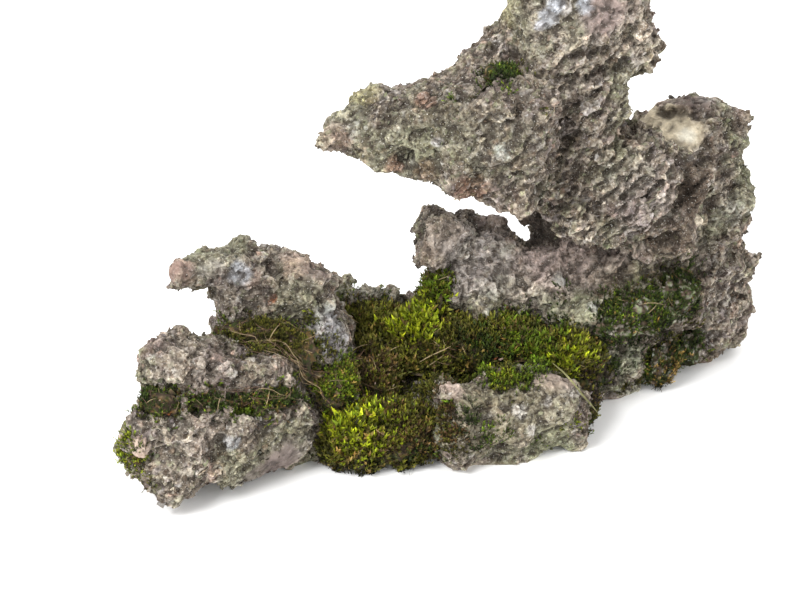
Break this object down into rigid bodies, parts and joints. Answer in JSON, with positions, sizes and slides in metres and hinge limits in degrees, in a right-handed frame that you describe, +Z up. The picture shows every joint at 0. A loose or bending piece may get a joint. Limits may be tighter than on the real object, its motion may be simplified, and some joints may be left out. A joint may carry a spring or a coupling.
{
  "type": "mossy rock",
  "caption": "Craggy weathered stone with a pointed overhanging spur above a hollow, a hooked boulder, a split block and moss cushions in its clefts.",
  "frame": {"origin": "on the flat foot that the stone rests on, under the middle of the stone", "axes": "+X along the stone's length, away from the split block; +Y to the back; +Z up"},
  "size_m": [0.3262, 0.2066, 0.235],
  "materials": {
    "rock": "dry, coarse grained grey stone with cream flecks, brown pits and patches of lichen",
    "moss": "living moss, yellow-green shoots over olive and brown"
  },
  "bodies": {
    "root": {"rock": "rock", "moss_bed": "moss", "moss_cleft": "moss", "moss_hook": "moss", "moss_slope": "moss", "moss_foot": "moss", "moss_corner": "moss", "moss_rim": "moss", "moss_ledge": "moss"}
  },
  "joints": []
}
